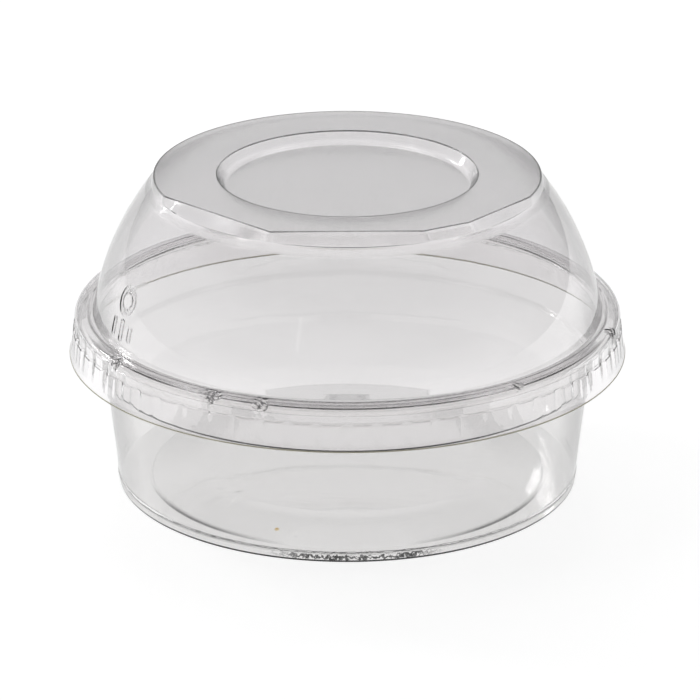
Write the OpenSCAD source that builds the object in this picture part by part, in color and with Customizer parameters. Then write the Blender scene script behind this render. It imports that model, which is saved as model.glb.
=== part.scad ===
// Clear thermoformed pot with a domed snap lid.
// Both pieces are drawn from one sheet thickness: a path gives the outer skin,
// and the same path moved one sheet inwards gives the inner skin.
// Z is up, the foot stands on Z = 0 and the front of the container faces -Y.

/* [Sheet] */
// Thickness of the formed plastic sheet
sheet_t = 0.45; // [0.3:0.05:0.6]

/* [Pot] */
// Diameter of the foot where it meets the table
foot_d = 100; // [84:1:116]
// Width of the flat ring that the pot stands on
foot_w = 7.8; // [4:0.2:12]
// How far the middle of the floor is raised above the foot
floor_rise = 2; // [1:0.1:4]
// Width of the slope between the foot and the raised floor
floor_slope_w = 2.2; // [1.4:0.1:4]
// Height of the upright band round the heel
heel_h = 1.6; // [1:0.1:4]
// Radius of the heel where it turns under the foot
heel_r = 0.5; // [0.3:0.05:0.9]
// Height of the pot from the table to the top of its rim
pot_h = 37.9; // [34:0.1:60]
// Slope of the pot's wall away from upright, in degrees
wall_draft = 6.1; // [2:0.1:8]
// Height of the stacking shoulder above the table
shoulder_h = 27.2; // [20:0.2:29]
// Width of the stacking shoulder
shoulder_w = 1; // [0.6:0.1:1.6]
// Width of the flat rim, from the wall to the outside of its lip
rim_w = 4.1; // [3.6:0.1:6]
// Height of the turned-down lip at the edge of the rim
lip_h = 1.5; // [1.1:0.1:3]

/* [Lid] */
// Gap between the pot's lip and the lid's snap channel
rim_clear = 0.4; // [0.25:0.05:0.7]
// Width of the flat ring of the lid that sits on the rim
seat_w = 0.8; // [0.5:0.1:1.2]
// Height of the rounded bead above the seat
bead_rise = 0.45; // [0.2:0.05:1]
// Radius of the bead's outer corner
bead_r = 1; // [0.7:0.1:1.4]
// Height of the dome from the seat to the foot of the top step
dome_h = 28.9; // [20:0.5:45]
// Radius of the dome's side in section
dome_arc_r = 59.5; // [45:0.5:120]
// Diameter of the flat top
top_d = 83; // [70:1:90]
// Height of the step under the flat top
step_h = 1.8; // [1.2:0.1:3]
// Diameter of the round recess in the top
recess_d = 55.8; // [30:0.2:60]
// Depth of the round recess
recess_depth = 2.6; // [1.4:0.1:5]
// Slope of the recess wall, in degrees from upright
recess_draft = 34; // [4:1:45]
// Width by which the front edge of the flat top is pressed down
press_w = 4.7; // [2:0.1:6]

/* [Skirt] */
// Height of the skirt below the top of the pot's rim
skirt_h = 8.75; // [8:0.25:12]
// Lean of the grip pads' faces, in degrees from upright
skirt_lean = 7; // [0:0.5:10]
// How far the cut edge flares out below the pads
edge_out = 0.43; // [0.2:0.01:0.8]
// Height of the flared edge
edge_h = 1.2; // [0.8:0.05:1.6]
// Height of the pads' top ledge above the flared edge
pad_h = 4.9; // [3:0.1:5.3]
// How far the pads' top ledge stands out
pad_out = 0.2; // [0.1:0.02:0.5]
// Number of grip pads, and of the grooves between them
pad_count = 60; // [24:2:72]
// Share of the pitch that a groove takes
groove_share = 0.34; // [0.25:0.01:0.4]
// Depth of the grooves below the plain band above them
groove_depth = 0.3; // [0.1:0.02:0.36]
// How far the grooves reach up past the pads' ledge
groove_over = 1.1; // [0.6:0.05:1.5]

/* [Hidden] */

$fn = 128;
bend_steps = 4;
dome_steps = 16;
past = 1;
least_r = 0.05;

foot_r = foot_d / 2;
floor_r = foot_r - foot_w - floor_slope_w;
floor_bend_r = 1;
heel_lean = 0.05;
wall_r = foot_r + heel_lean + (shoulder_h - heel_h) * tan(wall_draft);
shoulder_rise = 0.7;
shoulder_bend_r = 0.5;
rim_draft = 2;
rim_under_z = pot_h - sheet_t;
rim_wall_r = wall_r + shoulder_w + (rim_under_z - shoulder_h - shoulder_rise) * tan(rim_draft);
rim_r = rim_wall_r + rim_w;
rim_bend_r = 0.5;

dome_gap = 0.35;
dome_base_r = rim_wall_r + sheet_t + dome_gap;
dome_bend_r = 0.6;
seat_z = pot_h + sheet_t;
bead_out_r = rim_r + rim_clear + sheet_t;
bead_top_z = seat_z + bead_rise;
bead_slope_w = 0.5;
bead_bend_r = 0.5;
dome_top_z = seat_z + dome_h;
top_z = dome_top_z + step_h;
top_r = top_d / 2;
top_bend_r = 0.5;
step_lean = 0.45;
recess_r = recess_d / 2;
recess_z = top_z - recess_depth;
recess_floor_r = recess_r - recess_depth * tan(recess_draft);
recess_bend_r = 0.6;
// Each pressed strip: its place round the front, and its share of press_w.
presses = [[-44, 0.79], [1, 1], [29, 0.4], [50, 0.43]];

skirt_z = pot_h - skirt_h;
edge_top_z = skirt_z + edge_h;
edge_bend_r = 0.5;
pad_high_z = edge_top_z + pad_h;
pad_ledge_h = 0.5;
pad_bend_r = 0.15;
groove_low_z = edge_top_z + 0.1;
groove_high_z = pad_high_z + groove_over;
groove_slope_h = 0.5;
groove_r = bead_out_r - groove_depth;
pad_pitch = 360 / pad_count;
flank_reach = 2.5;
flank = 15;

function unit(v) = v / norm(v);
function left_of(a, b) = let (d = unit(b - a)) [-d[1], d[0]];
function spot(corner) = [corner[0], corner[1]];
function ray(r, w) = r * [cos(w), sin(w)];
function swung(v, w) = [v[0] * cos(w) - v[1] * sin(w), v[0] * sin(w) + v[1] * cos(w)];
function reversed(list) = [for (i = [len(list) - 1:-1:0]) list[i]];

// 1 where the way from a by b to c turns left, -1 where it turns right.
function turn(a, b, c) = let (u = b - a, v = c - b) sign(u[0] * v[1] - u[1] * v[0]);

// Points of the corner at b rounded by r. A radius of zero keeps it sharp.
function bend(a, b, c, r) =
    let (
        u = unit(a - b),
        v = unit(c - b),
        half = acos(max(-1, min(1, u * v))) / 2
    )
    r <= 0 || half > 89.5 ? [b] :
    let (
        reach = min(r / tan(half), norm(a - b) * 0.49, norm(c - b) * 0.49),
        centre = b + unit(u + v) * reach / cos(half),
        sweep = (180 - 2 * half) * turn(a, b, c)
    )
    [for (i = [0:bend_steps]) centre + swung(b + u * reach - centre, sweep * i / bend_steps)];

// Points of a path of corners [x, z, radius].
function rounded(path) = [
    spot(path[0]),
    for (i = [1:len(path) - 2])
        each bend(spot(path[i - 1]), spot(path[i]), spot(path[i + 1]), path[i][2]),
    spot(path[len(path) - 1])
];

// The path moved to its left by t, with each radius grown or shrunk to match.
function inset(path, t) = [
    for (i = [0:len(path) - 1])
    let (
        last = len(path) - 1,
        here = spot(path[i]),
        before = spot(path[max(i - 1, 0)]),
        after = spot(path[min(i + 1, last)]),
        n0 = i == 0 ? left_of(here, after) : left_of(before, here),
        n1 = i == last ? left_of(before, here) : left_of(here, after),
        mitre = unit(n0 + n1),
        bent = i == 0 || i == last ? 0 : turn(before, here, after),
        r = path[i][2] > 0 ? max(path[i][2] - bent * t, least_r) : 0
    )
    [each here + mitre * t / (mitre * n0), r]
];

// Corners of an arc of radius r from a to b that bulges to the right of its way.
function bulge(a, b, r, steps) =
    let (
        half = norm(b - a) / 2,
        centre = (a + b) / 2 + left_of(a, b) * sqrt(r * r - half * half),
        start = atan2(a[1] - centre[1], a[0] - centre[0]),
        end = atan2(b[1] - centre[1], b[0] - centre[0])
    )
    [for (i = [1:steps - 1]) [each centre + ray(r, start + (end - start) * i / steps), 0]];

// Outer skin of the pot, from the middle of its floor to the edge of its lip.
pot_path = [
    [0, floor_rise, 0],
    [floor_r, floor_rise, floor_bend_r],
    [floor_r + floor_slope_w, 0, floor_bend_r],
    [foot_r, 0, heel_r],
    [foot_r + heel_lean, heel_h, 0],
    [wall_r, shoulder_h, shoulder_bend_r],
    [wall_r + shoulder_w, shoulder_h + shoulder_rise, shoulder_bend_r],
    [rim_wall_r, rim_under_z, rim_bend_r],
    [rim_r - sheet_t, rim_under_z, rim_bend_r],
    [rim_r - sheet_t, pot_h - lip_h, 0]
];

pad_top_z = pad_high_z - pad_ledge_h;
pad_top_r = bead_out_r + pad_out;
edge_top_r = pad_top_r + (pad_top_z - edge_top_z) * tan(skirt_lean);

dome_foot = [dome_base_r, seat_z];
dome_head = [top_r + step_lean, dome_top_z];

// Outer skin of the lid, from the edge of its skirt to the middle of its top.
lid_path = [
    [edge_top_r + edge_out, skirt_z, 0],
    [edge_top_r, edge_top_z, edge_bend_r],
    [pad_top_r, pad_top_z, pad_bend_r],
    [bead_out_r, pad_high_z, pad_bend_r],
    [bead_out_r, bead_top_z, bead_r],
    [dome_base_r + seat_w + bead_slope_w, bead_top_z, bead_bend_r],
    [dome_base_r + seat_w, seat_z, bead_bend_r],
    [each dome_foot, dome_bend_r],
    each bulge(dome_foot, dome_head, dome_arc_r, dome_steps),
    [each dome_head, top_bend_r],
    [top_r, top_z, top_bend_r],
    [recess_r, top_z, top_bend_r],
    [recess_floor_r, recess_z, recess_bend_r],
    [0, recess_z, 0]
];

module formed_sheet(path) {
    rotate_extrude()
        polygon(concat(rounded(path), reversed(rounded(inset(path, sheet_t)))));
}

// Everything above the pressed strips, lowered by a skin.
module above_presses(skin) {
    for (press = presses)
        let (w = press_w * press[1], reach = top_d * 2)
            rotate(press[0] - 90)
                translate([top_r - w, 0, top_z])
                    rotate([0, atan(step_h / (w + step_lean)), 0])
                        translate([-reach / 2, -reach / 2, -skin])
                            cube([reach, reach, reach]);
}

// Section of the grooves, grown by a skin.
module groove_section(skin) {
    outer = edge_top_r + edge_out + past;
    low = groove_low_z - skin;
    high = groove_high_z + skin;
    polygon([
        [groove_r - skin, low + groove_slope_h],
        [edge_top_r, low],
        [outer, low],
        [outer, high],
        [bead_out_r, high],
        [groove_r - skin, high - groove_slope_h]
    ]);
}

// The grooves seen from above: a star whose rays have sloping flanks.
module groove_star(skin) {
    half = pad_pitch * groove_share / 2 + atan(skin / cos(flank) / bead_out_r);
    lean = atan(flank_reach * tan(flank) / bead_out_r);
    polygon([
        for (i = [0:pad_count - 1])
        let (w = i * pad_pitch)
        each [
            ray(bead_out_r - flank_reach, w - half + lean),
            ray(bead_out_r + flank_reach, w - half - lean),
            ray(bead_out_r + flank_reach, w + half + lean),
            ray(bead_out_r - flank_reach, w + half - lean)
        ]
    ]);
}

module grooves(skin) {
    intersection() {
        rotate_extrude() groove_section(skin);
        translate([0, 0, skirt_z])
            linear_extrude(skirt_h)
                groove_star(skin);
    }
}

// The lid as a solid block, with a skin taken off it.
module lid_block(skin) {
    skin_points = rounded(inset(lid_path, skin));
    open_z = skirt_z - (skin > 0 ? past : 0);
    difference() {
        rotate_extrude()
            polygon(concat(skin_points, [[0, open_z], [skin_points[0][0], open_z]]));
        above_presses(skin);
        grooves(skin);
    }
}

module pot() {
    color([0.86, 0.88, 0.88, 0.4])
        formed_sheet(pot_path);
}

module dome_lid() {
    color([0.9, 0.92, 0.93, 0.4])
        difference() {
            lid_block(0);
            lid_block(sheet_t);
        }
}

pot();
dome_lid();
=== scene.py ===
import math

import bmesh
import bpy
from mathutils import Matrix, Vector, noise


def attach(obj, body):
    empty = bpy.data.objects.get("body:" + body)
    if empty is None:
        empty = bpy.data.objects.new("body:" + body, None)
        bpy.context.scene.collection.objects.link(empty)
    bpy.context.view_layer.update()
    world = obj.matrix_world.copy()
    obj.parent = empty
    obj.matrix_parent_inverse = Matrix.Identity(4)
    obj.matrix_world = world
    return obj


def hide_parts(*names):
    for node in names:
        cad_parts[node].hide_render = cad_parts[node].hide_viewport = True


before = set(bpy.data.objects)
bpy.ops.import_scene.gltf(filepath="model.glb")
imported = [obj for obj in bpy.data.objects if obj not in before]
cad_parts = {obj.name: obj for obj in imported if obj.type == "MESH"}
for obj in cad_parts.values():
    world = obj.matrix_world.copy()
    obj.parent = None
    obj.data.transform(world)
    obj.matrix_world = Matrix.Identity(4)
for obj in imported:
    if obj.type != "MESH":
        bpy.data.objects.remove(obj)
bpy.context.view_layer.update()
print("frame loaded")

mm = 0.001  # outlines are written in millimetres, meshes are in metres


def deselectAll():
    if bpy.context.mode != "OBJECT":
        bpy.ops.object.mode_set(mode="OBJECT")
    bpy.ops.object.select_all(action="DESELECT")


def takeUp(piece):
    deselectAll()
    piece.select_set(True)
    bpy.context.view_layer.objects.active = piece


def polar(radius, degrees):
    # degrees from the front, which is -Y, towards the right
    w = math.radians(degrees)
    return Vector((radius * math.sin(w), -radius * math.cos(w)))


def fromFront(point):
    return math.degrees(math.atan2(point[0], -point[1]))


def roundedCorner(before, corner, after, radius, stepDegrees):
    u = (before - corner).normalized()
    v = (after - corner).normalized()
    half = u.angle(v) / 2
    if radius <= 0 or half > math.radians(89.5):
        return [corner]
    shortest = min((before - corner).length, (after - corner).length)
    reach = min(radius / math.tan(half), shortest * 0.49)
    centre = corner + (u + v).normalized() * (reach / math.cos(half))
    start = corner + u * reach - centre
    end = corner + v * reach - centre
    sweep = math.atan2(start.x * end.y - start.y * end.x, start.dot(end))
    count = max(2, round(abs(math.degrees(sweep)) / stepDegrees))
    return [centre + Matrix.Rotation(sweep * i / count, 2) @ start for i in range(count + 1)]


def outlinePoints(corners, stepDegrees, longest):
    # corners are (radius, height, bend); long straight runs are cut shorter than longest
    spots = [Vector(c[:2]) for c in corners]
    points = [spots[0]]
    for i in range(1, len(corners) - 1):
        points += roundedCorner(spots[i - 1], spots[i], spots[i + 1], corners[i][2], stepDegrees)
    points.append(spots[-1])
    dense = [points[0]]
    for point in points[1:]:
        run = point - dense[-1]
        count = max(1, math.ceil(run.length / longest(point))) if run.length > 1e-6 else 0
        start = dense[-1]
        dense += [start + run * (k + 1) / count for k in range(count)]
    return dense


def spinSheet(name, points, columns):
    # one vertex is drawn out along the outline, then spun once round the axis
    deselectAll()
    bpy.ops.mesh.primitive_plane_add(size=mm, location=(0, 0, 0))
    piece = bpy.context.object
    piece.name = name
    piece.data.name = name
    bpy.ops.object.mode_set(mode="EDIT")
    bpy.ops.mesh.select_all(action="SELECT")
    bpy.ops.mesh.merge(type="CENTER")
    bpy.ops.transform.translate(value=(points[0].x * mm, 0, points[0].y * mm))
    for here, there in zip(points, points[1:]):
        step = (there - here) * mm
        bpy.ops.mesh.extrude_vertices_move(TRANSFORM_OT_translate={"value": (step.x, 0, step.y)})
    bpy.ops.mesh.select_all(action="SELECT")
    bpy.ops.mesh.spin(steps=columns, angle=math.tau, center=(0, 0, 0), axis=(0, 0, 1))
    bpy.ops.mesh.select_all(action="SELECT")
    bpy.ops.mesh.remove_doubles(threshold=0.004 * mm)
    bpy.ops.mesh.normals_make_consistent(inside=False)
    bpy.ops.object.mode_set(mode="OBJECT")
    return piece


def faceOutwards(piece, height, radius):
    # the wall at this height has to look away from the axis
    def away(face):
        return abs(face.center.z - height * mm) + abs(face.center.xy.length - radius * mm)

    wall = min(piece.data.polygons, key=away)
    if wall.normal.xy.dot(wall.center.xy) < 0:
        takeUp(piece)
        bpy.ops.object.mode_set(mode="EDIT")
        bpy.ops.mesh.select_all(action="SELECT")
        bpy.ops.mesh.flip_normals()
        bpy.ops.object.mode_set(mode="OBJECT")


def thicken(piece, thickness):
    takeUp(piece)
    wall = piece.modifiers.new("sheet", "SOLIDIFY")
    wall.thickness = thickness * mm
    wall.offset = -1
    wall.use_quality_normals = True
    bpy.ops.object.modifier_apply(modifier=wall.name)


def smooth(piece, degrees):
    takeUp(piece)
    bpy.ops.object.shade_smooth_by_angle(angle=math.radians(degrees))
    # flat places stay flat in shading up to the bend beside them
    even = piece.modifiers.new("even_shading", "WEIGHTED_NORMAL")
    even.weight = 60
    even.keep_sharp = True
    bpy.ops.object.modifier_apply(modifier=even.name)


sheetLook = {
    # height in mm and the tone of one layer there, painted shade by height: darker down the dome's side, on
    # the recess wall and the pressed strips, lighter at the rims, the recess floor and the flat top
    "potShadeByHeight": [(0, 0.9), (3, 0.9), (10, 0.88), (25, 0.875), (36, 0.93)],
    "lidShadeByHeight": [
        (37.5, 0.94), (42, 0.885), (50, 0.87), (56, 0.82), (65, 0.81),
        (66, 0.965), (67.1, 0.965), (67.4, 0.88), (68.4, 0.88), (68.6, 0.97),
    ],
    "potTint": (1, 0.994, 0.991),
    "lidTint": (1, 0.989, 0.996),
    "paintedEdgeShade": 0.2,  # painted shade: the tone the sheet is darkened to where it is seen nearly edge on
    "paintedEdgeShadeFrom": (0.6, 0.9),
    "bend": 1.57,  # index of refraction of the plastic
    "gloss": (0.0, 0.03),  # roughness of clean and of handled places
    "handledFrom": (0.45, 0.7),
    "handledSize": 55,  # handled places in a metre
    # height in mm and roughness of the flat top
    "satin": [(65.4, 0), (65.6, 0.2), (66.5, 0.2), (66.9, 0.03), (67.2, 0.1), (68.4, 0.1), (68.6, 0.2)],
    "ripple": 0.02,
    "rippleSize": 90,  # waves in a metre
}

# painted shade: near-black lines on the creases along the front half of the pot's foot, standing in for the
# dark those folds show
foldShadeLook = {
    "tone": 0.03,
    "heelLine": [(0, 0), (2.16, 0), (2.22, 1), (2.34, 1), (2.4, 0), (4, 0)],  # height and strength
    "heelRock": [(0, 0), (0.8, 0), (0.95, 1), (1.35, 1), (1.5, 0), (4, 0)],
    # radius and strength of the line round the floor
    "floorLine": [(40, 0), (42.0, 0.03), (42.9, 0.6), (43.15, 1), (43.4, 1), (43.5, 0), (45, 0)],
    # metres from here on
    "rockSize": 1100,  # grains in a metre
    "lineWobble": 0.06 * mm,
    "rockWobble": 0.7 * mm,
    "rockMiddle": 0.002,
    "rockReach": (0.012, 0.019),
    "heelFrom": 0.0492,  # radius, so that the floor inside stays clear
    "lineAside": (0.012, 0.028),  # the floor line is gone at the middle of the front
    "lineBack": (-0.008, -0.024, 0.12, 1),
    "top": 0.0032,
    "back": (0.002, -0.02),
}

edgeLook = {
    "tint": (0.58, 0.55, 0.4),
    "clear": 0.35,
    "roughness": 0.35,
    "grain": 400,
    "spread": 1.35,  # how much lighter the grain gets
}


def mixColours(nodes, a, b):
    mix = nodes.new("ShaderNodeMix")
    mix.data_type = "RGBA"
    mix.inputs["A"].default_value = (*a, 1)
    mix.inputs["B"].default_value = (*b, 1)
    return mix


def mapped(nodes, links, value, fromMin, fromMax, toMin, toMax):
    ramp = nodes.new("ShaderNodeMapRange")
    for socket, number in zip(("From Min", "From Max", "To Min", "To Max"), (fromMin, fromMax, toMin, toMax)):
        ramp.inputs[socket].default_value = number
    links.new(value, ramp.inputs["Value"])
    return ramp.outputs["Result"]


def rampOver(nodes, links, value, stops, tint=(1, 1, 1)):
    # a colour ramp over a length in mm, from its first stop to its last
    low, high = stops[0][0], stops[-1][0]
    ramp = nodes.new("ShaderNodeValToRGB")
    elements = ramp.color_ramp.elements
    while len(elements) < len(stops):
        elements.new(0.5)
    for element, (at, tone) in zip(elements, stops):
        element.position = (at - low) / (high - low)
        element.color = (*[tone * c for c in tint], 1)
    links.new(mapped(nodes, links, value, low * mm, high * mm, 0, 1), ramp.inputs["Fac"])
    return ramp.outputs["Color"]


def mathNode(nodes, links, operation, a, b):
    node = nodes.new("ShaderNodeMath")
    node.operation = operation
    for socket, value in zip(node.inputs, (a, b)):
        if isinstance(value, (int, float)):
            socket.default_value = value
        else:
            links.new(value, socket)
    return node.outputs[0]


def footFoldShade(nodes, links, parts, place):
    # painted shade mask: 1 on the crease lines round the foot, with a broken rocky one at the middle of the
    # front
    f = foldShadeLook

    def times(a, b):
        return mathNode(nodes, links, "MULTIPLY", a, b)

    def shifted(a, b):
        return mathNode(nodes, links, "ADD", a, b)

    x, y, z = (parts.outputs[k] for k in "XYZ")
    rock = noiseOver(nodes, links, place, f["rockSize"], 3)
    wobble = mapped(nodes, links, rock, 0.3, 0.7, -f["lineWobble"], f["lineWobble"])
    line = rampOver(nodes, links, shifted(z, wobble), f["heelLine"])
    rough = mapped(nodes, links, rock, 0.3, 0.7, -f["rockWobble"], f["rockWobble"])
    rocky = rampOver(nodes, links, shifted(z, rough), f["heelRock"])
    aside = mathNode(nodes, links, "ABSOLUTE", mathNode(nodes, links, "SUBTRACT", x, f["rockMiddle"]), 0)
    rocky = times(rocky, mapped(nodes, links, aside, *f["rockReach"], 1, 0))
    reach = nodes.new("ShaderNodeVectorMath")
    reach.operation = "LENGTH"
    links.new(place.outputs["Object"], reach.inputs[0])
    outside = mathNode(nodes, links, "GREATER_THAN", reach.outputs["Value"], f["heelFrom"])
    heel = times(mathNode(nodes, links, "MAXIMUM", line, rocky), outside)
    ring = rampOver(nodes, links, reach.outputs["Value"], f["floorLine"])
    sideways = mathNode(nodes, links, "ABSOLUTE", x, 0)
    ring = times(ring, mapped(nodes, links, sideways, *f["lineAside"], 0, 1))
    ring = times(ring, mapped(nodes, links, y, *f["lineBack"]))
    foldShadeMask = mathNode(nodes, links, "MAXIMUM", heel, ring)
    foldShadeMask = times(foldShadeMask, mathNode(nodes, links, "LESS_THAN", z, f["top"]))
    return times(foldShadeMask, mapped(nodes, links, y, *f["back"], 0, 1))


def addSpots(nodes, links, place, tone, spots):
    # specks of dust and tiny knocks, each a dot at its place in mm
    for spot, size, colour in spots:
        gap = nodes.new("ShaderNodeVectorMath")
        gap.operation = "DISTANCE"
        links.new(place.outputs["Object"], gap.inputs[0])
        gap.inputs[1].default_value = [c * mm for c in spot]
        near = mathNode(nodes, links, "LESS_THAN", gap.outputs["Value"], size * mm)
        dot = mixColours(nodes, (1, 1, 1), colour)
        links.new(near, dot.inputs["Factor"])
        links.new(tone, dot.inputs["A"])
        tone = dot.outputs["Result"]
    return tone


def freshMaterial(name):
    material = bpy.data.materials.new(name)
    material.use_nodes = True
    return material, material.node_tree.nodes, material.node_tree.links


def noiseOver(nodes, links, place, scale, detail=2):
    grain = nodes.new("ShaderNodeTexNoise")
    grain.inputs["Scale"].default_value = scale
    grain.inputs["Detail"].default_value = detail
    links.new(place.outputs["Object"], grain.inputs["Vector"])
    return grain.outputs["Fac"]


def clearSheet(name, stops, tint, spots, foldShaded=False):
    look = sheetLook
    material, nodes, links = freshMaterial(name)
    shader = nodes["Principled BSDF"]
    shader.inputs["IOR"].default_value = look["bend"]
    shader.inputs["Transmission Weight"].default_value = 1
    place = nodes.new("ShaderNodeTexCoord")
    parts = nodes.new("ShaderNodeSeparateXYZ")
    links.new(place.outputs["Object"], parts.inputs["Vector"])
    # colour: painted shade by height, painted near-black crease lines, specks, and painted shade where it is
    # seen edge on
    body = rampOver(nodes, links, parts.outputs["Z"], stops, tint)
    if foldShaded:
        # painted shade: the crease lines are darkened nearly to black
        foldShade = mixColours(nodes, (1, 1, 1), [foldShadeLook["tone"]] * 3)
        links.new(footFoldShade(nodes, links, parts, place), foldShade.inputs["Factor"])
        links.new(body, foldShade.inputs["A"])
        body = foldShade.outputs["Result"]
    body = addSpots(nodes, links, place, body, spots)
    # painted shade: the sheet is darkened where it is seen edge on
    edgeOn = nodes.new("ShaderNodeLayerWeight")
    tone = mixColours(nodes, (1, 1, 1), [look["paintedEdgeShade"]] * 3)
    steep = mapped(nodes, links, edgeOn.outputs["Facing"], *look["paintedEdgeShadeFrom"], 0, 1)
    links.new(steep, tone.inputs["Factor"])
    links.new(body, tone.inputs["A"])
    links.new(tone.outputs["Result"], shader.inputs["Base Color"])
    # gloss: handled places and the satin top
    handled = noiseOver(nodes, links, place, look["handledSize"], 5)
    gloss = mapped(nodes, links, handled, *look["handledFrom"], *look["gloss"])
    satin = rampOver(nodes, links, parts.outputs["Z"], look["satin"])
    links.new(mathNode(nodes, links, "MAXIMUM", gloss, satin), shader.inputs["Roughness"])
    relief = nodes.new("ShaderNodeBump")
    relief.inputs["Strength"].default_value = look["ripple"]
    relief.inputs["Distance"].default_value = 0.001
    links.new(noiseOver(nodes, links, place, look["rippleSize"]), relief.inputs["Height"])
    links.new(relief.outputs["Normal"], shader.inputs["Normal"])
    return material


def cutEdge(name):
    look = edgeLook
    material, nodes, links = freshMaterial(name)
    shader = nodes["Principled BSDF"]
    shader.inputs["IOR"].default_value = sheetLook["bend"]
    shader.inputs["Transmission Weight"].default_value = look["clear"]
    shader.inputs["Roughness"].default_value = look["roughness"]
    place = nodes.new("ShaderNodeTexCoord")
    mix = mixColours(nodes, look["tint"], [c * look["spread"] for c in look["tint"]])
    links.new(noiseOver(nodes, links, place, look["grain"]), mix.inputs["Factor"])
    links.new(mix.outputs["Result"], shader.inputs["Base Color"])
    return material


potSizes = {
    "sheet": 0.45,
    "footRadius": 50.0,
    "floorRadius": 40.0,
    "floorRise": 2.0,
    "heelTop": 2.3,
    "shoulder": (52.66, 25.95),  # radius and height
    "shoulderWidth": 1.0,
    "shoulderRise": 0.7,
    "rimWallRadius": 54.12,
    "rimRadius": 58.22,
    "rimTop": 37.9,
    "lip": 1.5,
    # height, only beyond this radius, reach and swell of each thick crease
    "creases": [(2.28, 49.9, 0.5, 0.26), (25.95, 52.4, 0.5, 0.16)],
    "ringCrease": (43.1, 0.7, 0.14),  # radius, reach and height of the line round the floor
    "floorBars": [(-33, -21, 8.5), (-28.5, -21, 11), (-24, -21, 7.5)],  # across, back, length of plain marks
    "barHalf": 0.8,
    "barLean": 0.12,
    "barRise": 0.16,
    "columns": 360,
    # where a straight run is parted, so that rows are close together only beside the creases
    "partFloor": 15.5,
    "partSlope": 42.1,
    "partWall": (3.3, 25.1),
}

# place in mm, size, colour
potSpots = [
    ((-32.7, -21.4, 2.0), 0.28, (0.02, 0.02, 0.02)),
    ((-14.9, -35.0, 1.0), 0.55, (0.7, 0.5, 0.2)),
    ((-10.8, -38.2, 0.5), 0.2, (0.2, 0.2, 0.2)),
]


def hump(off, reach):
    return (1 + math.cos(math.pi * off / reach)) / 2


def clamp(value):
    return max(0, min(1, value))


def swellCreases(piece):
    # the skin is thicker along the heel and under the shoulder, on its outer side only
    s = potSizes
    middle, wide, high = s["ringCrease"]
    for v in piece.data.vertices:
        spot = v.co / mm
        radius = spot.xy.length
        for height, wall, reach, swell in s["creases"]:
            off = abs(spot.z - height)
            if radius <= wall or off >= reach:
                continue
            rock = 0.75 + 0.5 * noise.noise(Vector((spot.x, spot.y, spot.z * 4)) * 0.9)
            if height > 5:
                rock *= clamp((spot.y + 25) / 30)  # the shoulder's is at the back
            else:
                rock *= clamp((15 - spot.y) / 25)  # the heel's is at the front, rough at its middle
                if abs(fromFront(spot) - 2) < 24:
                    rock += 1.1 * noise.noise(Vector((spot.x * 1.6, spot.y, spot.z * 3)))
            v.co.xy += v.co.xy.normalized() * swell * mm * rock * hump(off, reach)
        off = abs(radius - middle)
        if off < wide and spot.z > s["sheet"] * 0.5 and spot.y < 12:
            # strongest at the two sides, gone at the middle of the front
            beside = max(0, min(1, (abs(spot.x) / radius - 0.45) * 3, (12 - spot.y) / 12))
            v.co.z += high * beside * mm * hump(off, wide)
        if radius < s["floorRadius"] and spot.z > s["floorRise"] - 0.2:
            for across, back, tall in s["floorBars"]:
                lean = (spot.y - back) * s["barLean"]
                inside = min(s["barHalf"] - abs(spot.x - across - lean), tall / 2 - abs(spot.y - back))
                v.co.z += s["barRise"] * mm * clamp(inside / 0.5)


def potRowGap(p):
    # longest gap between rows, in mm
    if p.y < 3.4 and p.x > 49.8 or 25.2 < p.y < 27.2:
        return 0.2
    if 42.2 < p.x < 44:
        return 0.25
    if p.x < 16:
        return 6
    return 1.0 if p.x < 38 else 2.6


def makePot():
    s = potSizes
    under = s["rimTop"] - s["sheet"]
    lipRadius = s["rimRadius"] - s["sheet"]
    slope = Vector((s["floorRadius"] - 8, s["floorRise"]))
    ringFoot = Vector((s["floorRadius"] + 3.1, 0.04))
    heel = Vector((s["footRadius"] + 0.05, s["heelTop"]))
    shoulder = Vector(s["shoulder"])
    beforeRing = slope.lerp(ringFoot, (s["partSlope"] - slope.x) / (ringFoot.x - slope.x))
    wallRows = [heel.lerp(shoulder, (height - heel.y) / (shoulder.y - heel.y)) for height in s["partWall"]]
    corners = [
        (0, s["floorRise"], 0),
        (s["partFloor"], s["floorRise"], 0),
        (*slope, 30),
        (*beforeRing, 0),
        (*ringFoot, 0.8),
        (s["footRadius"], 0, 0.5),
        (*heel, 0.12),
        *((*row, 0) for row in wallRows),
        (*shoulder, 0.4),
        (shoulder.x + s["shoulderWidth"], shoulder.y + s["shoulderRise"], 0.5),
        (s["rimWallRadius"], under, 0.5),
        (lipRadius, under, 0.5),
        (lipRadius, s["rimTop"] - s["lip"], 0),
    ]
    points = outlinePoints(corners, 15, potRowGap)
    piece = spinSheet("pot_shell", points, s["columns"])
    faceOutwards(piece, 15, 51.5)
    sheet = clearSheet("clear_pot_sheet", sheetLook["potShadeByHeight"], sheetLook["potTint"], potSpots, True)
    piece.data.materials.append(sheet)
    thicken(piece, s["sheet"])
    swellCreases(piece)
    smooth(piece, 40)
    return piece


pot = makePot()
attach(pot, "pot")
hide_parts("pot")
print("pot made", len(pot.data.polygons))

lidSizes = {
    "sheet": 0.42,
    "edge": (60.2, 29.15),  # radius and height of the cut edge
    "edgeRow": (60.11, 29.41),  # up to here the burr of the cut shows
    "edgeTop": (59.78, 30.35),
    "padTop": (59.32, 34.7),
    "band": (58.95, 35.1),
    "beadTop": 38.8,
    "ledge": 38.35,
    "domeFoot": 54.92,
    "domeTop": (41.95, 67.25),
    "domeArc": 59.5,
    "topRadius": 41.5,
    "top": 69.05,
    "recessRadius": 27.9,
    "recessFoot": 26.15,
    "recessDepth": 2.6,
    "columns": 540,
}

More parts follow.
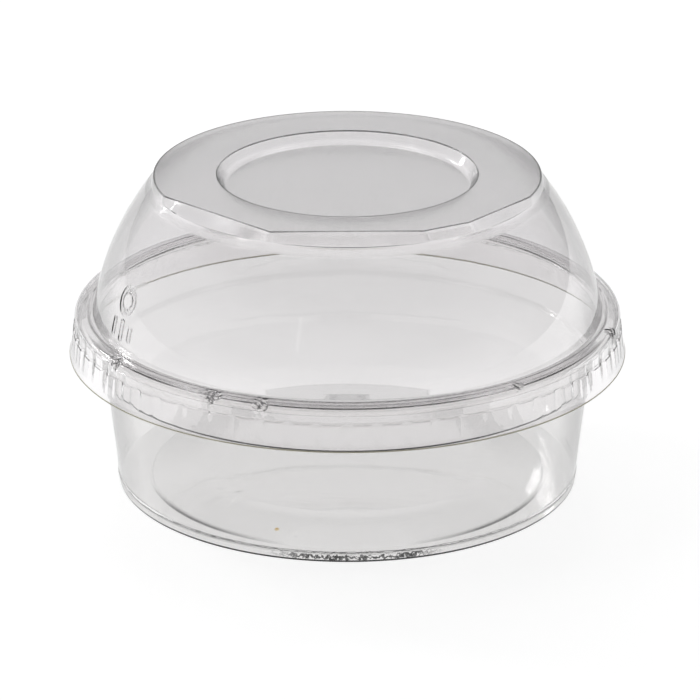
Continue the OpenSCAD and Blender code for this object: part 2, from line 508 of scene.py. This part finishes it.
gripGrooves = {
    "count": 60,
    "depth": 0.22,
    "low": 30.6,
    "high": 36.2,
    "floorHalf": 0.75,  # half width of a groove's floor
    "mouthHalf": 1.25,
    "fade": 1.5,  # a groove dies out over this height towards the cut edge
}

pressedStrips = [(-44, 3.7), (1, 4.7), (29, 1.9), (50, 2.0)]  # degrees from the front, width

# degrees from the front, height, reach, depth
beadDents = [
    (-28.9, 38.2, 3.0, 1.3),
    (-17.6, 38.1, 2.7, 1.3),
    (-56.4, 38.2, 2.2, 1.0),
    (37.3, 38.4, 1.5, 0.6),
    (74.5, 38.4, 1.8, 1.0),
]

domeMark = {
    "middle": -62,  # degrees from the front
    "height": 46.5,
    "radius": 52.5,
    "relief": -0.3,  # pressed inwards
    "across": 6.5,  # half size of the patch that holds it
    "up": 7.5,
    "bars": [(-3.4, 3.6), (0, 4.6), (3.4, 3.0)],  # place across and length
}

# place in mm, size, colour
lidSpots = [
    ((-38.5, 4.7, 69.05), 0.2, (0.02, 0.02, 0.02)),
    ((-12.5, 9.0, 66.45), 0.14, (0.2, 0.2, 0.2)),
    ((9.5, -6.0, 66.45), 0.14, (0.25, 0.25, 0.25)),
    ((17.0, 3.0, 66.45), 0.12, (0.2, 0.2, 0.2)),
]


def domeArc(s, steps):
    a = Vector((s["domeFoot"], s["ledge"]))
    b = Vector(s["domeTop"])
    half = (b - a).length / 2
    along = (b - a).normalized()
    centre = (a + b) / 2 + Vector((-along.y, along.x)) * math.sqrt(s["domeArc"] ** 2 - half ** 2)
    start = math.atan2(a.y - centre.y, a.x - centre.x)
    end = math.atan2(b.y - centre.y, b.x - centre.x)
    angles = [start + (end - start) * k / steps for k in range(1, steps)]
    return [(centre.x + s["domeArc"] * math.cos(w), centre.y + s["domeArc"] * math.sin(w), 0) for w in angles]


def lidOutline():
    s = lidSizes
    return [
        (*s["edge"], 0),
        (*s["edgeRow"], 0.05),
        (*s["edgeTop"], 3.5),
        (*s["padTop"], 0.15),
        (*s["band"], 0.15),
        (s["band"][0], s["beadTop"], 1.3),
        (s["domeFoot"] + 1.3, s["beadTop"], 0.8),
        (s["domeFoot"] + 0.8, s["ledge"], 0.8),
        (s["domeFoot"], s["ledge"], 0.8),
        *domeArc(s, 24),
        (*s["domeTop"], 0.5),
        (s["topRadius"], s["top"], 0.4),
        (s["recessRadius"], s["top"], 0.35),
        (s["recessFoot"], s["top"] - s["recessDepth"], 1.2),
        (0, s["top"] - s["recessDepth"], 0),
    ]


def cutGrooves(piece):
    # three columns of each pitch of nine sink in, and the columns beside them close up
    g = gripGrooves
    pitch = 360 / g["count"]
    column = 360 / lidSizes["columns"]
    bandRadius = lidSizes["band"][0]
    count = 0
    for v in piece.data.vertices:
        spot = v.co / mm
        radius = spot.xy.length
        if radius < 58.5 or spot.z > g["high"] + 0.3:
            continue
        w = fromFront(spot)
        middle = round(w / pitch) * pitch
        step = round((w - middle) / column)
        if abs(step) in (1, 2):
            half = g["floorHalf"] if abs(step) == 1 else g["mouthHalf"]
            w = middle + math.copysign(math.degrees(half / radius), step)
        roof = g["high"] - (0.3 if step else 0)
        if abs(step) < 2 and g["low"] < spot.z < roof:
            if spot.z > 34:
                radius = min(radius, bandRadius + 0.2)
            radius -= g["depth"] * min(1, (spot.z - g["low"]) / g["fade"])
            count += 1
        v.co.xy = polar(radius, w) * mm
    print("groove vertices", count)


def borderRadius(degrees):
    # how far the flat ring reaches in this direction
    reach = lidSizes["topRadius"]
    for middle, width in pressedStrips:
        off = (degrees - middle + 180) % 360 - 180
        if abs(off) < 60:
            reach = min(reach, (lidSizes["topRadius"] - width) / math.cos(math.radians(off)))
    return reach


def pressStrips(piece):
    # the front of the top edge is crushed into flat strips between straight creases
    s = lidSizes
    bendReach = 0.3125  # the top edge's bend begins this far before its corner
    start = s["recessRadius"] + 0.6  # the flat ring is squeezed from here outwards
    wide = s["topRadius"] - bendReach - start
    for v in piece.data.vertices:
        spot = v.co / mm
        radius = spot.xy.length
        w = fromFront(spot)
        border = borderRadius(w)
        give = s["topRadius"] - border
        if give < 1e-4 or radius < start or spot.z < s["domeTop"][1] + 0.55:
            continue
        fold = bendReach - 0.15 * min(1, give)
        if spot.z > s["top"] - 1e-3:
            radius = start + (radius - start) * (border - fold - start) / wide
        else:
            u = min(1, (s["top"] - spot.z) / (bendReach * 0.97))
            run = Vector((s["domeTop"][0] - border, s["domeTop"][1] - s["top"])).normalized() * fold
            tip = Vector((border, s["top"]))
            bend = (tip - Vector((fold, 0))) * (1 - u) ** 2 + tip * 2 * u * (1 - u) + (tip + run) * u * u
            radius, v.co.z = bend.x, bend.y * mm
        v.co.xy = polar(radius, w) * mm


def localMesh(piece, cuts, wanted):
    # finer faces where a small mark or dent needs them
    takeUp(piece)
    bpy.ops.object.mode_set(mode="EDIT")
    bpy.ops.mesh.select_mode(type="FACE")
    bpy.ops.mesh.select_all(action="DESELECT")
    mesh = bmesh.from_edit_mesh(piece.data)
    for face in mesh.faces:
        face.select = wanted(face.calc_center_median() / mm)
    bmesh.update_edit_mesh(piece.data)
    bpy.ops.mesh.subdivide(number_cuts=cuts, smoothness=0)
    bpy.ops.object.mode_set(mode="OBJECT")


def dentBead(piece):
    # knocks on the outer bead, each a small rough hollow
    spots = [(Vector((*polar(lidSizes["band"][0] - 0.4, d[0]), d[1])), d[2], d[3]) for d in beadDents]
    localMesh(piece, 2, lambda p: any((p - spot[0]).length < spot[1] * 1.2 for spot in spots))
    for v in piece.data.vertices:
        spot = v.co / mm
        if spot.z < 34 or spot.z > 42:
            continue
        for centre, reach, depth in spots:
            off = (spot - centre).length / reach
            if off < 1:
                fade = (1 - off * off) ** 2
                rock = 0.55 + 0.9 * noise.noise(spot * 1.1) + 0.5 * noise.noise(spot * 2.6)
                inwards = Vector((-spot.x, -spot.y, 0)).normalized() * 0.7 - Vector((0, 0, 0.7))
                v.co += inwards * depth * fade * rock * mm


def raisedMark(u, v):
    # a plain ring over three plain bars, in mm across and up
    ring = 0.55 - abs(math.hypot(u + 0.2, v - 2.6) - 2.6)
    bars = max(min(0.6 - abs(u - place), 0.5 * tall - abs(v + 4.2)) for place, tall in domeMark["bars"])
    return clamp(max(ring, bars) / 0.3)


def markDome(piece):
    m = domeMark

    def across(p):
        return math.radians(fromFront(p) - m["middle"]) * m["radius"]

    def within(p):
        return abs(across(p)) < m["across"] and abs(p.z - m["height"]) < m["up"] and p.xy.length > 45

    localMesh(piece, 3, within)
    for v in piece.data.vertices:
        spot = v.co / mm
        if within(spot):
            lift = raisedMark(across(spot), (spot.z - m["height"]) * 1.12)
            v.co += v.normal * lift * m["relief"] * mm


def lidRowGap(p):
    if p.x < 26:
        return 7
    if 35 < p.y < 36.6:
        return 0.34
    return 1.0 if p.y < 37 else 4


def makeLid():
    s = lidSizes
    points = outlinePoints(lidOutline(), 18, lidRowGap)
    piece = spinSheet("lid_shell", points, s["columns"])
    faceOutwards(piece, 50, 52)
    cutGrooves(piece)
    pressStrips(piece)
    dentBead(piece)
    markDome(piece)
    sheet = clearSheet("clear_lid_sheet", sheetLook["lidShadeByHeight"], sheetLook["lidTint"], lidSpots)
    piece.data.materials.append(sheet)
    piece.data.materials.append(cutEdge("lid_cut_edge"))
    thicken(piece, s["sheet"])
    for face in piece.data.polygons:
        if face.center.z < s["edgeRow"][1] * mm and face.center.xy.length > (s["edge"][0] - 0.2) * mm:
            face.material_index = 1
    smooth(piece, 55)
    return piece


lid = makeLid()
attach(lid, "lid")
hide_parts("dome_lid")
print("lid made", len(lid.data.polygons))

studio = {
    "floorSize": 6.0,
    "floorColour": (0.35, 0.35, 0.35, 1),
    "floorGlow": 0.86,
    "floorGloss": 0.6,
    "floorDrop": 0.15,  # mm below the foot
    "aim": 0.04,  # height in metres that the lamps look at
    "bounces": 28,
    "mirrorBounces": 8,
    "rightWall": 0.5,
    "frontWall": 0.6,  # share of the wall light that comes from behind the camera
    "horizonGlow": (1.0, 18),  # brightness at the front horizon, and degrees up where it ends
    "walls": [(0, 0.74), (10, 0.76), (26, 0.7), (36, 0.1), (90, 0.09)],  # degrees up and brightness
}

# degrees from the front, degrees up, distance, (width, height), brightness
softboxes = {
    "key_back_left": (-130, 31, 1.3, (0.24, 0.18), 14),
    "low_left": (-130, 17, 1.3, (0.07, 0.05), 12),
    "side_left": (-92, 54, 1.3, (0.7, 0.45), 1.9),
    "side_right": (94, 54, 1.3, (0.7, 0.45), 1.2),
    "back_right": (160, 52, 1.3, (0.4, 0.25), 2.4),
    "back_left": (-162, 52, 1.3, (0.4, 0.25), 2.4),
    "strip_front": (-22.5, 21, 1.25, (0.035, 0.3), 0.5),
}


def hangSoftbox(name, facts):
    degrees, up, distance, size, brightness = facts
    level = distance * math.cos(math.radians(up))
    spot = polar(level, degrees)
    place = Vector((spot.x, spot.y, distance * math.sin(math.radians(up)) + studio["aim"]))
    bpy.ops.object.light_add(type="AREA", location=place)
    lamp = bpy.context.object
    lamp.name = name
    lamp.data.shape = "RECTANGLE"
    lamp.data.size, lamp.data.size_y = size
    lamp.data.energy = brightness * math.pi * size[0] * size[1]
    aim = Vector((0, 0, studio["aim"])) - place
    lamp.rotation_euler = aim.to_track_quat("-Z", "Y").to_euler()


def makeFloor():
    deselectAll()
    bpy.ops.mesh.primitive_plane_add(size=studio["floorSize"], location=(0, 0, -studio["floorDrop"] * mm))
    floor = bpy.context.object
    floor.name = "floor"
    material, nodes, links = freshMaterial("floor_white")
    board = nodes["Principled BSDF"]
    board.inputs["Base Color"].default_value = studio["floorColour"]
    board.inputs["Roughness"].default_value = studio["floorGloss"]
    board.inputs["Emission Color"].default_value = (1, 1, 1, 1)
    # the floor is white to the camera and to what mirrors or shows it, and lights nothing
    path = nodes.new("ShaderNodeLightPath").outputs
    seen = mathNode(nodes, links, "MAXIMUM", path["Is Camera Ray"], path["Is Glossy Ray"])
    seen = mathNode(nodes, links, "MAXIMUM", seen, path["Is Transmission Ray"])
    glow = mathNode(nodes, links, "MULTIPLY", seen, studio["floorGlow"])
    links.new(glow, board.inputs["Emission Strength"])
    floor.data.materials.append(material)


def paintRoom():
    world = bpy.data.worlds.new("studio_room")
    bpy.context.scene.world = world
    world.use_nodes = True
    nodes, links = world.node_tree.nodes, world.node_tree.links
    around = nodes.new("ShaderNodeTexCoord")
    heading = nodes.new("ShaderNodeSeparateXYZ")
    links.new(around.outputs["Generated"], heading.inputs["Vector"])
    x, y, z = (heading.outputs[k] for k in "XYZ")
    walls = nodes.new("ShaderNodeValToRGB")
    stops = walls.color_ramp.elements
    while len(stops) < len(studio["walls"]):
        stops.new(0.5)
    for stop, (up, tone) in zip(stops, studio["walls"]):
        stop.position = math.sin(math.radians(up))
        stop.color = (tone, tone, tone, 1)
    links.new(z, walls.inputs["Fac"])
    behind = mapped(nodes, links, y, -0.6, 0.6, studio["frontWall"], 1)
    toRight = mapped(nodes, links, x, 0.0, 0.7, 1, studio["rightWall"])
    shade = mathNode(nodes, links, "MULTIPLY", behind, toRight)
    wall = mathNode(nodes, links, "MULTIPLY", walls.outputs["Color"], shade)
    # the room's floor and front wall meet softly, so the dome mirrors no hard line
    glow, glowTop = studio["horizonGlow"]
    low = mapped(nodes, links, z, 0, math.sin(math.radians(glowTop)), glow, 0)
    ahead = mapped(nodes, links, y, -0.3, 0.2, 1, 0)
    sweep = mathNode(nodes, links, "MULTIPLY", low, ahead)
    nodes["Background"].inputs["Color"].default_value = (1, 1, 1, 1)
    links.new(mathNode(nodes, links, "MAXIMUM", wall, sweep), nodes["Background"].inputs["Strength"])


makeFloor()
for name, facts in softboxes.items():
    hangSoftbox(name, facts)
paintRoom()

view = {
    "aim": (0, 0, 0.0282),
    "distance": 1.0,
    "down": 21.45,  # degrees
    "focal": 4608,  # in pixels of the 700 wide photograph
    "axisColumn": 347.4,  # where the pot's axis stands in the photograph
    "photoWidth": 700,
    "sensor": 36,
}


def makeCamera():
    down = math.radians(view["down"])
    aim = Vector(view["aim"])
    place = aim + Vector((0, -math.cos(down), math.sin(down))) * view["distance"]
    bpy.ops.object.camera_add(location=place, rotation=(math.pi / 2 - down, 0, 0))
    camera = bpy.context.object
    camera.name = "photo_view"
    wide = view["photoWidth"]
    camera.data.sensor_width = view["sensor"]
    camera.data.lens = view["focal"] / wide * view["sensor"]
    camera.data.shift_x = (wide / 2 - view["axisColumn"]) / wide
    camera.data.clip_start = 0.05
    bpy.context.scene.camera = camera


makeCamera()
scene = bpy.context.scene
scene.view_settings.view_transform = "Standard"
scene.cycles.max_bounces = studio["bounces"]
scene.cycles.transmission_bounces = studio["bounces"]
scene.cycles.glossy_bounces = studio["mirrorBounces"]
print("studio made")
